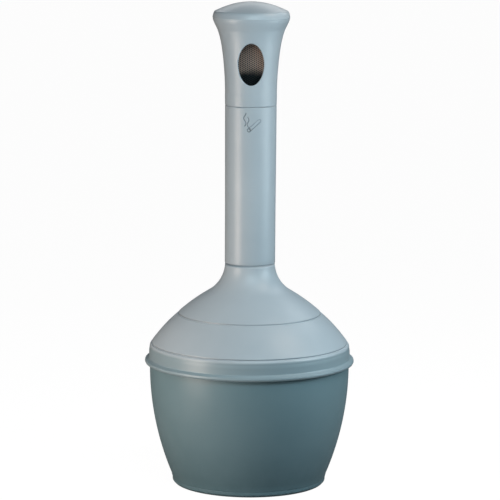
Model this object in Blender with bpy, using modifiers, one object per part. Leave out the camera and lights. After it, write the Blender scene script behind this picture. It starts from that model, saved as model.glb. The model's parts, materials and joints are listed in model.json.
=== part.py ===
"""Free-standing cigarette receptacle: a pot base, a steel liner pail, and a lift-off bonnet.

Metres, +Z up, foot ring on z = 0, front (the port) towards -Y.
The bonnet is three mouldings: dome cover, neck tube and head hood. Spigots on the dome and
the head plug into the neck, and two screws at the back hold each joint.
"""

import math

import bmesh
import bpy
from mathutils import Matrix, Vector

# Turned pieces
SEGMENTS = 40
SMALL_SEGMENTS = 10
GAP = 0.0003  # left between pieces that touch
WALL = 0.004  # moulded wall

# Base pot
FOOT_R = 0.1498
FOOT_INNER_R = 0.138
FLOOR_UNDER_Z = 0.006
FLOOR_TOP_Z = 0.010
POT_TOP_Z = 0.2467
POT_MAX_R = 0.2022
POT_BULGE_R = 0.580
POT_BULGE_Z = 0.2415
POT_LIP_R = 0.1995
POT_LIP_Z = 0.262
ANCHOR_COUNT = 3
ANCHOR_CIRCLE_R = 0.095
ANCHOR_HOLE_R = 0.0063

# Liner pail
PAIL_FOOT_Z = 0.0104
PAIL_TOP_Z = 0.2353
PAIL_FOOT_R = 0.130
PAIL_TOP_R = 0.157
PAIL_SHEET = 0.001
RIM_WIRE_R = 0.003
EAR_Z = 0.205
EAR_HEIGHT = 0.022
EAR_SHEET = 0.0015
EAR_HOLE_R = 0.003
RIVET_ANGLE = math.radians(7.3)
BAIL_ARCH_R = 0.170
BAIL_WIRE_R = 0.00225
BAIL_END_X = 0.157
BAIL_BEND = 0.0035
BAIL_REST = math.radians(-30)  # below the horizontal, on the back side

# Dome cover
DOME_TOP_Z = 0.4515
DOME_NECK_R = 0.0502
DOME_FILLET_R = 0.0690
DOME_FILLET_Z = 0.4522
DOME_SKIN_R = 0.3816
DOME_TANGENT = math.radians(30.6)
SHOULDER_R = 0.030
DOME_WALL_R = 0.2049
GROOVE_Z = (0.3485, 0.2900)
GROOVE_HALF = 0.0009
GROOVE_DEPTH = 0.0008
FLANGE_R = 0.2122
FLANGE_UNDER_Z = 0.247

# Neck tube and the spigots inside it
NECK_BOTTOM_Z = 0.4519
NECK_TOP_Z = 0.7704
NECK_BORE_R = 0.0474
SPIGOT_R = 0.0470
SPIGOT_BORE_R = 0.0436
SPIGOT_LENGTH = 0.029
SCREW_ANGLES = (math.radians(54), math.radians(126))
SCREW_Z = (0.468, 0.754)
SCREW_HOLE_R = 0.00245

# Head hood
HEAD_BOTTOM_Z = 0.7707
HEAD_TOP_Z = 0.978
CROWN_R = 0.1516
CROWN_EDGE_R = 0.0700
HEAD_BORE_R = 0.0480
SHELF_Z = 0.7745
PORT_WIDTH = 0.051
PORT_HEIGHT = 0.084
PORT_Z = 0.856

# Stub plate and its seat ring
PLATE_FOOT_Y = -0.006
PLATE_LEAN = math.radians(12)  # the top leans towards the port
PLATE_HALF_WIDTH = 0.0435
PLATE_TOP_Z = 0.905
PLATE_CORNER_R = 0.012
PLATE_SHEET = 0.0012
TAB_INNER_X = 0.0340
TAB_BACK_Y = 0.007
RING_R = 0.0475
RING_BORE_R = 0.036
RING_SHEET = 0.0012
RING_FRONT_Y = -0.012  # the ring is open in front of this
PLATE_RIVET = (0.0397, 0.0012)


# ---------------------------------------------------------------- scene and materials


def new_collection(name, hidden=False):
    collection = bpy.data.collections.new(name)
    collection.hide_render = hidden
    bpy.context.scene.collection.children.link(collection)
    return collection


def clear_scene():
    for obj in list(bpy.data.objects):
        bpy.data.objects.remove(obj, do_unlink=True)


def material(name, color, roughness, metallic=0.0):
    mat = bpy.data.materials.new(name)
    mat.use_nodes = True
    shader = mat.node_tree.nodes["Principled BSDF"]
    shader.inputs["Base Color"].default_value = (*color, 1.0)
    shader.inputs["Roughness"].default_value = roughness
    shader.inputs["Metallic"].default_value = metallic
    mat.diffuse_color = (*color, 1.0)
    return mat


def add(name, data, mat, matrix=None):
    """A visible piece of the receptacle, in one material."""
    obj = bpy.data.objects.new(name, data)
    PARTS.objects.link(obj)
    if not data.materials:
        data.materials.append(mat)
    if matrix is not None:
        obj.matrix_world = matrix
    return obj


# ---------------------------------------------------------------- shapes


def arc(centre, radius, start, end, steps):
    """Points (r, z) on an arc. Angles are in radians from the +r direction."""
    return [
        (
            centre[0] + radius * math.cos(start + (end - start) * i / steps),
            centre[1] + radius * math.sin(start + (end - start) * i / steps),
        )
        for i in range(steps + 1)
    ]


def profile_mesh(name, points, closed):
    mesh = bpy.data.meshes.new(name)
    edges = [(i, i + 1) for i in range(len(points) - 1)]
    if closed:
        edges.append((len(points) - 1, 0))
    mesh.from_pydata([(r, 0.0, z) for r, z in points], edges, [])
    return mesh


def turned(name, mesh, mat, segments=SEGMENTS, matrix=None):
    """A profile turned about its local Z. Its outer side runs from top to bottom."""
    obj = add(name, mesh, mat, matrix)
    screw = obj.modifiers.new("turn", "SCREW")
    screw.steps = screw.render_steps = segments
    screw.use_merge_vertices = True
    screw.merge_threshold = 0.0001
    screw.use_smooth_shade = True
    return obj


def pegs(name, placed, radius, length, segments=SMALL_SEGMENTS):
    """A hidden cutter: one cylinder on each matrix of placed, along its local Z."""
    bm = bmesh.new()
    for matrix in placed:
        bmesh.ops.create_cone(
            bm, cap_ends=True, segments=segments, radius1=radius, radius2=radius,
            depth=length, matrix=matrix,
        )
    return cutter(name, bm)


def cutter(name, bm):
    bmesh.ops.recalc_face_normals(bm, faces=bm.faces)
    mesh = bpy.data.meshes.new(name)
    bm.to_mesh(mesh)
    bm.free()
    obj = bpy.data.objects.new(name, mesh)
    obj.hide_render = True
    obj.display_type = "WIRE"
    CUTTERS.objects.link(obj)
    return obj


def cut(obj, tool):
    boolean = obj.modifiers.new(tool.name, "BOOLEAN")
    boolean.operation = "DIFFERENCE"
    boolean.solver = "EXACT"
    boolean.object = tool


def radial(angle, radius, z, tilt=0.0):
    """A frame whose Z points outwards at angle, tipped down by tilt."""
    out = Vector((
        math.cos(tilt) * math.cos(angle), math.cos(tilt) * math.sin(angle), -math.sin(tilt),
    ))
    place = Vector((radius * math.cos(angle), radius * math.sin(angle), z))
    return Matrix.Translation(place) @ out.to_track_quat("Z", "Y").to_matrix().to_4x4()


# ---------------------------------------------------------------- base


def pot_radius(z):
    drop = z - POT_BULGE_Z
    return POT_MAX_R - POT_BULGE_R + math.sqrt(POT_BULGE_R**2 - drop**2)


def anchor_frames(z):
    turn = 2 * math.pi / ANCHOR_COUNT
    return [
        Matrix.Translation((
            ANCHOR_CIRCLE_R * math.cos(math.pi / 2 + i * turn),
            ANCHOR_CIRCLE_R * math.sin(math.pi / 2 + i * turn),
            z,
        ))
        for i in range(ANCHOR_COUNT)
    ]


def build_base(plastic, rubber):
    inner = [(pot_radius(z) - WALL, z) for z in (0.028, 0.075, 0.130, 0.185, 0.234)]
    outer = [(pot_radius(z), z) for z in (0.236, 0.200, 0.160, 0.115, 0.070, 0.035, 0.0135)]
    lip_inner = POT_LIP_R - WALL
    points = [
        (0.0, FLOOR_TOP_Z),
        (0.140, FLOOR_TOP_Z),
        (0.1485, 0.0135),
        *inner,
        (lip_inner, 0.243),
        (lip_inner, POT_LIP_Z),
        (POT_LIP_R - 0.0008, POT_LIP_Z),
        (POT_LIP_R, POT_LIP_Z - 0.001),
        (POT_LIP_R, POT_TOP_Z),
        (POT_MAX_R - 0.001, POT_TOP_Z),
        (POT_MAX_R, POT_TOP_Z - 0.0022),
        *outer,
        (0.1553, 0.0085),
        (0.1530, 0.0025),
        (FOOT_R, 0.0),
        (FOOT_INNER_R, 0.0),
        (FOOT_INNER_R - 0.002, FLOOR_UNDER_Z),
        (0.0, FLOOR_UNDER_Z),
    ]
    pot = turned("base_pot", profile_mesh("base_pot", points, False), plastic)
    cut(pot, pegs("cut_anchor_holes", anchor_frames(0.008), ANCHOR_HOLE_R, 0.02, 16))

    plug = profile_mesh("anchor_plug", [
        (0.0, FLOOR_TOP_Z + 0.0025),
        (0.0070, FLOOR_TOP_Z + 0.0025),
        (0.0090, FLOOR_TOP_Z + 0.0010),
        (0.0090, FLOOR_TOP_Z + GAP),
        (0.0059, FLOOR_TOP_Z + GAP),
        (0.0059, FLOOR_UNDER_Z - GAP),
        (0.0070, FLOOR_UNDER_Z - GAP),
        (0.0056, FLOOR_UNDER_Z - 0.0028),
        (0.0, FLOOR_UNDER_Z - 0.0028),
    ], False)
    for i, frame in enumerate(anchor_frames(0.0)):
        turned(f"anchor_plug_{i + 1}", plug, rubber, SMALL_SEGMENTS, frame)


# ---------------------------------------------------------------- pail


def pail_radius(z):
    share = (z - PAIL_FOOT_Z) / (PAIL_TOP_Z - PAIL_FOOT_Z)
    return PAIL_FOOT_R + (PAIL_TOP_R - PAIL_FOOT_R) * share


PAIL_TAPER = math.atan((PAIL_TOP_R - PAIL_FOOT_R) / (PAIL_TOP_Z - PAIL_FOOT_Z))


def rivet_frames(side):
    """Frames on the pail wall for the two rivets of the ear at +X (side 1) or -X (side -1)."""
    middle = 0.0 if side > 0 else math.pi
    return [
        radial(middle + sign * RIVET_ANGLE, pail_radius(EAR_Z), EAR_Z, PAIL_TAPER)
        for sign in (-1, 1)
    ]


def ear_outline():
    """The ear seen from above, at +X: two feet on the wall and a bridge that stands clear."""
    foot = pail_radius(EAR_Z) + 0.00035
    bridge = 0.1597
    half = [(foot, 9.5), (foot, 5.2), (bridge, 3.7)]
    outer = [(bridge + EAR_SHEET, 3.9), (foot + EAR_SHEET, 5.6), (foot + EAR_SHEET, 9.5)]
    loop = [(r, -a) for r, a in half] + [(r, a) for r, a in reversed(half)]
    loop += [(r, a) for r, a in reversed(outer)] + [(r, -a) for r, a in outer]
    return [(r * math.cos(math.radians(a)), r * math.sin(math.radians(a))) for r, a in loop]


def ear_mesh():
    bm = bmesh.new()
    low = [bm.verts.new((x, y, EAR_Z - EAR_HEIGHT / 2)) for x, y in ear_outline()]
    face = bm.faces.new(low)
    grown = bmesh.ops.extrude_face_region(bm, geom=[face])["geom"]
    bmesh.ops.translate(
        bm, vec=(0, 0, EAR_HEIGHT), verts=[v for v in grown if isinstance(v, bmesh.types.BMVert)]
    )
    pivot = Matrix.Translation((pail_radius(EAR_Z), 0.0, EAR_Z))
    lean = pivot @ Matrix.Rotation(PAIL_TAPER, 4, "Y") @ pivot.inverted()
    bmesh.ops.transform(bm, matrix=lean, verts=bm.verts)
    bmesh.ops.recalc_face_normals(bm, faces=bm.faces)
    mesh = bpy.data.meshes.new("pail_ear")
    bm.to_mesh(mesh)
    bm.free()
    return mesh


def build_ears(steel, fastener):
    ear = ear_mesh()
    rivet = profile_mesh("pail_rivet", [
        (0.0, 0.0036),
        (0.0022, 0.0032),
        (0.0036, EAR_SHEET + 0.00065),
        (0.0018, EAR_SHEET + 0.00065),
        (0.0018, -0.0018),
        (0.0031, -0.0018),
        (0.0020, -0.0030),
        (0.0, -0.0032),
    ], False)
    for side, label in ((1, "right"), (-1, "left")):
        turn = Matrix.Rotation(0.0 if side > 0 else math.pi, 4, "Z")
        piece = add(f"pail_ear_{label}", ear, steel, turn)
        frames = rivet_frames(side)
        cut(piece, pegs(f"cut_ear_rivets_{label}", frames, 0.00215, 0.012))
        middle = 0.0 if side > 0 else math.pi
        hole = [radial(middle, 0.1605, EAR_Z)]
        cut(piece, pegs(f"cut_ear_hole_{label}", hole, EAR_HOLE_R, 0.010, 16))
        for i, frame in enumerate(frames):
            turned(f"pail_rivet_{label}_{i + 1}", rivet, fastener, SMALL_SEGMENTS, frame)


def bail_path():
    """The bail as it lies in its own plane: x across, y away from the hinge line."""
    bend_x = BAIL_ARCH_R - BAIL_BEND
    right = [(BAIL_END_X, 0.0), (bend_x, 0.0)]
    right.append((bend_x + 0.7 * BAIL_BEND, 0.3 * BAIL_BEND))
    arch = arc((0.0, BAIL_BEND), BAIL_ARCH_R, 0.0, math.pi, 32)
    return right + arch + [(-x, y) for x, y in reversed(right)]


def build_bail(steel):
    """The bail, with its origin on the hinge line through both ears."""
    curve = bpy.data.curves.new("pail_bail", "CURVE")
    curve.dimensions = "3D"
    curve.bevel_depth = BAIL_WIRE_R
    curve.bevel_resolution = 2
    curve.use_fill_caps = True
    points = bail_path()
    spline = curve.splines.new("POLY")
    spline.points.add(len(points) - 1)
    for point, (x, y) in zip(spline.points, points):
        point.co = (x, y, 0.0, 1.0)
    frame = Matrix.Translation((0, 0, EAR_Z)) @ Matrix.Rotation(BAIL_REST, 4, "X")
    add("pail_bail", curve, steel, frame)


def build_pail(steel, fastener):
    body = turned("pail_body", profile_mesh("pail_body", [
        (PAIL_TOP_R, PAIL_TOP_Z),
        (PAIL_FOOT_R, PAIL_FOOT_Z),
        (PAIL_FOOT_R - PAIL_SHEET, PAIL_FOOT_Z),
        (PAIL_TOP_R - PAIL_SHEET, PAIL_TOP_Z),
    ], True), steel)
    frames = rivet_frames(1) + rivet_frames(-1)
    cut(body, pegs("cut_pail_rivets", frames, 0.00215, 0.008))

    turned("pail_bottom", profile_mesh("pail_bottom", [
        (0.0, 0.0172),
        (0.1289, 0.0172),
        (0.1284, 0.0110),
        (0.1272, 0.0110),
        (0.1276, 0.0160),
        (0.0, 0.0160),
    ], False), steel)

    ring_centre = (PAIL_TOP_R + GAP + RIM_WIRE_R, PAIL_TOP_Z - 0.0025)
    ring = arc(ring_centre, RIM_WIRE_R, math.pi, -math.pi, 6)[:-1]
    turned("pail_rim_wire", profile_mesh("pail_rim_wire", ring, True), steel)
    build_ears(steel, fastener)
    build_bail(steel)


# ---------------------------------------------------------------- bonnet


def screw_frames(z):
    return [radial(angle, 0.0509, z) for angle in SCREW_ANGLES]


def build_dome(plastic):
    fillet = (DOME_NECK_R + DOME_FILLET_R, DOME_FILLET_Z)
    reach = DOME_FILLET_R + DOME_SKIN_R
    skin = (
        fillet[0] - reach * math.sin(DOME_TANGENT),
        fillet[1] - reach * math.cos(DOME_TANGENT),
    )
    shoulder_r = DOME_WALL_R - SHOULDER_R
    rise = math.sqrt((DOME_SKIN_R - SHOULDER_R) ** 2 - (shoulder_r - skin[0]) ** 2)
    shoulder = (shoulder_r, skin[1] + rise)
    join = math.atan2(rise, shoulder_r - skin[0])
    tangent = math.pi / 2 - DOME_TANGENT
    upper, lower = [math.asin((z - skin[1]) / DOME_SKIN_R) for z in GROOVE_Z]
    half = GROOVE_HALF / DOME_SKIN_R

    def groove(angle):
        return [
            arc(skin, DOME_SKIN_R, angle + half, 0, 1)[0],
            arc(skin, DOME_SKIN_R - GROOVE_DEPTH, angle, 0, 1)[0],
            arc(skin, DOME_SKIN_R, angle - half, 0, 1)[0],
        ]

    top = DOME_TOP_Z + SPIGOT_LENGTH
    outer = [
        (SPIGOT_BORE_R, top),
        (SPIGOT_R - 0.0008, top),
        (SPIGOT_R, top - 0.0010),
        (SPIGOT_R, DOME_TOP_Z),
        (DOME_NECK_R - 0.0006, DOME_TOP_Z),
        *arc(fillet, DOME_FILLET_R, math.pi + 0.022, math.pi + tangent, 6),
        *arc(skin, DOME_SKIN_R, tangent - 0.07, upper + 0.05, 1),
        *groove(upper),
        *arc(skin, DOME_SKIN_R, upper - 0.08, lower + 0.08, 1),
        *groove(lower),
        *arc(shoulder, SHOULDER_R, join - 0.05, 0.0, 3),
        (DOME_WALL_R + 0.0003, 0.2612),
        (0.2090, 0.2587),
        (0.2114, 0.2563),
        (FLANGE_R, 0.2526),
        (0.2115, 0.2487),
        (0.2098, FLANGE_UNDER_Z),
    ]
    inner = [
        (DOME_WALL_R - WALL, FLANGE_UNDER_Z),
        *arc(shoulder, SHOULDER_R - WALL, 0.0, join, 3),
        *arc(skin, DOME_SKIN_R - WALL, join + 0.10, tangent, 3),
        *arc(fillet, DOME_FILLET_R + WALL, math.pi + tangent, math.pi + 0.17, 3)[1:],
        (SPIGOT_BORE_R, DOME_TOP_Z - 0.0055),
    ]
    dome = turned("dome_cover", profile_mesh("dome_cover", outer + inner, True), plastic)
    cut(dome, pegs("cut_dome_screws", screw_frames(SCREW_Z[0]), SCREW_HOLE_R, 0.022))


def build_neck(plastic, fastener):
    neck = turned("neck_tube", profile_mesh("neck_tube", [
        (0.0512, NECK_TOP_Z),
        (0.0518, NECK_TOP_Z - 0.0007),
        (0.0515, 0.680),
        (0.0510, 0.560),
        (0.0509, NECK_BOTTOM_Z + 0.0007),
        (0.0503, NECK_BOTTOM_Z),
        (NECK_BORE_R, NECK_BOTTOM_Z),
        (NECK_BORE_R, NECK_TOP_Z),
    ], True), plastic)
    frames = screw_frames(SCREW_Z[0]) + screw_frames(SCREW_Z[1])
    cut(neck, pegs("cut_neck_screws", frames, SCREW_HOLE_R, 0.022))

    screw = profile_mesh("neck_screw", [
        (0.0, 0.0036),
        (0.0034, 0.0034),
        (0.0050, 0.0022),
        (0.0050, 0.0012),
        (0.0021, 0.0012),
        (0.0021, -0.0090),
        (0.0, -0.0115),
    ], False)
    for z, label in zip(SCREW_Z, ("lower", "upper")):
        for i, frame in enumerate(screw_frames(z)):
            turned(f"neck_screw_{label}_{i + 1}", screw, fastener, SMALL_SEGMENTS, frame)


def build_head(plastic):
    crown = (0.0, HEAD_TOP_Z - CROWN_R)
    edge = math.acos(CROWN_EDGE_R / CROWN_R)
    upper_flare, lower_flare = (0.2612, 0.8561), (0.7311, 0.7906)
    outer = [
        *arc(crown, CROWN_R, math.pi / 2, edge, 5),
        (0.0738, 0.9580),
        (0.0764, 0.9530),
        (0.0774, 0.9465),
        (0.0768, 0.9410),
        (0.0745, 0.9355),
        *arc(upper_flare, 0.2046, math.pi - 0.324, math.pi - 0.12, 3),
        *arc(lower_flare, 0.6791, math.pi - 0.085, math.pi, 2),
        (0.0518, HEAD_BOTTOM_Z + 0.0007),
        (0.0512, HEAD_BOTTOM_Z),
        (SPIGOT_R, HEAD_BOTTOM_Z),
        (SPIGOT_R, HEAD_BOTTOM_Z - SPIGOT_LENGTH + 0.0010),
        (SPIGOT_R - 0.0008, HEAD_BOTTOM_Z - SPIGOT_LENGTH),
        (SPIGOT_BORE_R, HEAD_BOTTOM_Z - SPIGOT_LENGTH),
    ]
    inner_edge = math.acos(0.0655 / (CROWN_R - WALL))
    inner = [
        (SPIGOT_BORE_R, SHELF_Z),
        (HEAD_BORE_R, SHELF_Z),
        *arc(lower_flare, 0.6791 + WALL, math.pi, math.pi - 0.085, 1),
        *arc(upper_flare, 0.2046 + WALL, math.pi - 0.12, math.pi - 0.324, 2),
        (0.0725, 0.9425),
        (0.0722, 0.9510),
        *arc(crown, CROWN_R - WALL, inner_edge, math.pi / 2, 3),
    ]
    head = turned("head_hood", profile_mesh("head_hood", outer + inner, False), plastic)
    cut(head, pegs("cut_head_screws", screw_frames(SCREW_Z[1]), SCREW_HOLE_R, 0.022))

    bm = bmesh.new()
    place = Matrix.Translation((0.0, -0.050, PORT_Z)) @ Matrix.Rotation(math.pi / 2, 4, "X")
    oval = Matrix.Diagonal((PORT_WIDTH / 2, PORT_HEIGHT / 2, 1.0, 1.0))
    bmesh.ops.create_cone(
        bm, cap_ends=True, segments=40, radius1=1.0, radius2=1.0, depth=0.050,
        matrix=place @ oval,
    )
    cut(head, cutter("cut_port", bm))


def build_stub_plate(steel, fastener):
    """A plain leaning plate on two tabs, riveted to a ring that is open at the front."""
    ring_z = SHELF_Z + GAP + RING_SHEET
    ring = turned("plate_ring", profile_mesh("plate_ring", [
        (RING_R, ring_z),
        (RING_R, ring_z - RING_SHEET),
        (RING_BORE_R, ring_z - RING_SHEET),
        (RING_BORE_R, ring_z),
    ], True), steel)
    bm = bmesh.new()
    place = Matrix.Translation((0.0, RING_FRONT_Y - 0.030, ring_z))
    bmesh.ops.create_cube(bm, size=1.0, matrix=place @ Matrix.Diagonal((0.12, 0.06, 0.02, 1.0)))
    cut(ring, cutter("cut_ring_front", bm))

    fold_z = ring_z + GAP
    w, t = PLATE_HALF_WIDTH, TAB_INNER_X
    corner = arc((w - PLATE_CORNER_R, PLATE_TOP_Z - PLATE_CORNER_R), PLATE_CORNER_R,
                 0.0, math.pi / 2, 4)
    front = [(t, fold_z + 0.003), (t, fold_z), (w, fold_z), *corner]
    outline = front + [(-x, z) for x, z in reversed(front)]
    verts = [(x, PLATE_FOOT_Y - (z - fold_z) * math.tan(PLATE_LEAN), z) for x, z in outline]
    last = len(verts) - 1
    verts += [(t, TAB_BACK_Y, fold_z), (w, TAB_BACK_Y, fold_z)]
    verts += [(-t, TAB_BACK_Y, fold_z), (-w, TAB_BACK_Y, fold_z)]
    faces = [
        tuple(range(last + 1)),
        (2, 1, last + 1, last + 2),
        (last - 1, last - 2, last + 4, last + 3),
    ]
    mesh = bpy.data.meshes.new("stub_plate")
    mesh.from_pydata(verts, [], faces)
    plate = add("stub_plate", mesh, steel)
    thick = plate.modifiers.new("sheet", "SOLIDIFY")
    thick.thickness = PLATE_SHEET
    thick.offset = -1.0
    thick.use_even_offset = True

    spots = [(PLATE_RIVET[0], PLATE_RIVET[1]), (-PLATE_RIVET[0], PLATE_RIVET[1])]
    frames = [Matrix.Translation((x, y, ring_z)) for x, y in spots]
    holes = pegs("cut_plate_rivets", frames, 0.0019, 0.012)
    cut(ring, holes)
    cut(plate, holes)
    top = GAP + PLATE_SHEET + GAP
    rivet = profile_mesh("plate_rivet", [
        (0.0, top + 0.0015),
        (0.0016, top + 0.0011),
        (0.0025, top),
        (0.0015, top),
        (0.0015, -RING_SHEET),
        (0.0, -RING_SHEET),
    ], False)
    for i, frame in enumerate(frames):
        turned(f"plate_rivet_{i + 1}", rivet, fastener, SMALL_SEGMENTS, frame)


# ---------------------------------------------------------------- assembly

clear_scene()
PARTS = new_collection("cigarette_receptacle")
CUTTERS = new_collection("cutters", hidden=True)

grey = material("grey_plastic", (0.34, 0.39, 0.43), 0.45)
galvanised = material("galvanised_steel", (0.52, 0.54, 0.56), 0.38, 1.0)
stub_steel = material("stub_steel", (0.22, 0.19, 0.17), 0.50, 1.0)
fastener_steel = material("fastener_steel", (0.60, 0.60, 0.60), 0.30, 1.0)
black_rubber = material("black_rubber", (0.03, 0.03, 0.03), 0.80)

build_base(grey, black_rubber)
build_pail(galvanised, fastener_steel)
build_dome(grey)
build_neck(grey, fastener_steel)
build_head(grey)
build_stub_plate(stub_steel, fastener_steel)
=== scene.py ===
"""Visual model of the free-standing cigarette receptacle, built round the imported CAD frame.

Metres, +Z up, the port faces -Y. Azimuths here are measured from the front: 0 is -Y, 90 is +X.
"""

import json
import math

import bmesh
import bpy
import numpy as np
from mathutils import Matrix, Vector


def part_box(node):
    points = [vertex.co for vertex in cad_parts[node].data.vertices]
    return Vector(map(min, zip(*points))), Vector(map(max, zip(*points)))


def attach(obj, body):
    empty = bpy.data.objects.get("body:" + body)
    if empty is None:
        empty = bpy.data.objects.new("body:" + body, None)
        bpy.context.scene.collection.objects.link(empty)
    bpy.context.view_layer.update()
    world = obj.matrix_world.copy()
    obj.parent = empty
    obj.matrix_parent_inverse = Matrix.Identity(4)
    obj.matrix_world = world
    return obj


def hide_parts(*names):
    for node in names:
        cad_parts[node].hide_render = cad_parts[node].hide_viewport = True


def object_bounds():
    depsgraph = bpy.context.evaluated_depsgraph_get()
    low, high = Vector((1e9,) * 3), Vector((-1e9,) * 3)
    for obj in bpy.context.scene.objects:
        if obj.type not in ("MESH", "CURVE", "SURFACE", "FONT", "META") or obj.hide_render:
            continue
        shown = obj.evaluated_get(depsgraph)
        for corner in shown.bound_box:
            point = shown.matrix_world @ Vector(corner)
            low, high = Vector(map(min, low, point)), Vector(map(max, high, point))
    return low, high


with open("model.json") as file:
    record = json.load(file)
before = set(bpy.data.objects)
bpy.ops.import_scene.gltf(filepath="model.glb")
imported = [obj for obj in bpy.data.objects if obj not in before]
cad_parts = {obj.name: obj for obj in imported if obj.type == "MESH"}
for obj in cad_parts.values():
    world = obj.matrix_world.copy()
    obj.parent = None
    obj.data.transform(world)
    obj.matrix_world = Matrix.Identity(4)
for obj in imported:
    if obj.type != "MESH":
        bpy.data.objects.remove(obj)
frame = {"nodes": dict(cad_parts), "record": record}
CAD_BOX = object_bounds()

# ---------------------------------------------------------------- sizes taken from the frame

FLOOR_Z = CAD_BOX[0][2]
HEAD_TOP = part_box("head_hood")[1][2]
NECK_LOW, NECK_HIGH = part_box("neck_tube")[0][2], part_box("neck_tube")[1][2]
FLANGE_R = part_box("dome_cover")[1][0]
FLANGE_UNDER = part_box("dome_cover")[0][2]
POT_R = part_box("base_pot")[1][0]
POT_LIP_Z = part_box("base_pot")[1][2]
PAIL_LOW, PAIL_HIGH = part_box("pail_body")[0][2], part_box("pail_body")[1][2]
PAIL_TOP_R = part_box("pail_body")[1][0]
HINGE_Z = frame["record"]["behaviour"]["joints"][2]["pos_m"][2]

WALL = 0.004
NECK_BORE = 0.0474
SPIGOT_R, SPIGOT_BORE = 0.0470, 0.0436
HEAD_LOW = NECK_HIGH + 0.0003
DOME_HIGH = NECK_LOW - 0.0004
COLUMNS = 224  # faces round a plain turned piece

# Heights on the dome: its two ring grooves, and the edge where its short upright wall starts.
UPPER_RING, LOWER_RING, SHOULDER_EDGE = 0.3480, 0.2878, 0.2830

# Plastic colours, each with the darker one that it clouds to. The last two are painted shade: the
# colour the dome's short wall turns towards under the lower ring, and the dark teal at the pot's
# foot.
BONNET_GREY, BONNET_DARK = (0.335, 0.395, 0.440), (0.300, 0.360, 0.405)
POT_GREY, POT_DARK = (0.133, 0.212, 0.243), (0.116, 0.193, 0.223)
WALL_PAINTED_SHADE = (0.125, 0.205, 0.235)
POT_FOOT_SHADE = (0.050, 0.112, 0.135)

# ---------------------------------------------------------------- curves


def arc(centre, radius, start, end, steps):
    """Points (r, z) on an arc, angles in radians from the +r direction."""
    turn = np.linspace(start, end, steps + 1)
    return [
        (centre[0] + radius * math.cos(a), centre[1] + radius * math.sin(a)) for a in turn
    ]


def rounded(corners, steps=4):
    """A path through corners (r, z) or (r, z, fillet radius), with each fillet drawn as an arc."""
    out = []
    last = len(corners) - 1
    for i, corner in enumerate(corners):
        here = Vector(corner[:2])
        radius = corner[2] if len(corner) > 2 else 0.0
        if radius == 0.0 or i in (0, last):
            out.append(tuple(here))
            continue
        back = (Vector(corners[i - 1][:2]) - here).normalized()
        on = (Vector(corners[i + 1][:2]) - here).normalized()
        half = back.angle(on) / 2
        centre = here + (back + on).normalized() * (radius / math.sin(half))
        first = here + back * (radius / math.tan(half)) - centre
        final = here + on * (radius / math.tan(half)) - centre
        for k in range(steps + 1):
            out.append(tuple(centre + first.slerp(final, k / steps).normalized() * radius))
    return out


def spaced(a, b, step):
    """Values from a to b, not including b, about step apart."""
    count = max(1, round(abs(b - a) / step))
    return [a + (b - a) * i / count for i in range(count)]


# ---------------------------------------------------------------- meshes


def finish_mesh(name, bm, body, mat, smooth=True, flat_above=None):
    """Makes the piece and ties it to its body. Creases sharper than flat_above degrees stay sharp."""
    bmesh.ops.recalc_face_normals(bm, faces=bm.faces)
    mesh = bpy.data.meshes.new(name)
    bm.to_mesh(mesh)
    bm.free()
    mesh.polygons.foreach_set("use_smooth", [smooth] * len(mesh.polygons))
    if flat_above is not None:
        mesh.set_sharp_from_angle(angle=math.radians(flat_above))
    mesh.materials.append(mat)
    obj = bpy.data.objects.new(name, mesh)
    bpy.context.scene.collection.objects.link(obj)
    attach(obj, body)
    return obj


def azimuths(count):
    """Azimuths evenly round the axis, starting at the back."""
    return [2 * math.pi * i / count - math.pi for i in range(count)]


def turn_profile(bm, profile, columns, closed=False, block=None, matrix=None):
    """Turns a profile about Z. Columns are azimuths from the front.

    block is ((first column, last column), [(first row, last row), ...]): the grid leaves
    those cells open. Returns the vertices by (row, column).
    """
    verts, rows, count = {}, len(profile), len(columns)
    (c0, c1), spans = block or ((0, -1), [])
    for i, (r, z) in enumerate(profile):
        if r < 1e-7:
            pole = bm.verts.new((0, 0, z))
            verts.update({(i, c): pole for c in range(count)})
            continue
        for c, a in enumerate(columns):
            if c0 < c < c1 and any(s < i < e for s, e in spans):
                continue
            verts[i, c] = bm.verts.new((r * math.sin(a), -r * math.cos(a), z))
    for i in range(rows if closed else rows - 1):
        j = (i + 1) % rows
        open_row = any(s <= i < e for s, e in spans)
        for c in range(count):
            if open_row and c0 <= c < c1:
                continue
            d = (c + 1) % count
            loop = []
            for key in ((i, c), (i, d), (j, d), (j, c)):
                if verts[key] not in loop:
                    loop.append(verts[key])
            if len(loop) > 2:
                bm.faces.new(loop)
    if matrix is not None:
        bmesh.ops.transform(bm, matrix=matrix, verts=list(bm.verts))
    return verts


def lathe(name, profile, body, mat, columns=COLUMNS, closed=False, matrix=None, flat=None):
    """A piece turned from a profile, with flat as its crease angle in degrees."""
    bm = bmesh.new()
    turn_profile(bm, profile, azimuths(columns), closed, matrix=matrix)
    return finish_mesh(name, bm, body, mat, flat_above=flat)


def smooth_step(t):
    t = np.clip(t, 0.0, 1.0)
    return t * t * (3 - 2 * t)


# ---------------------------------------------------------------- materials


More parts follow.
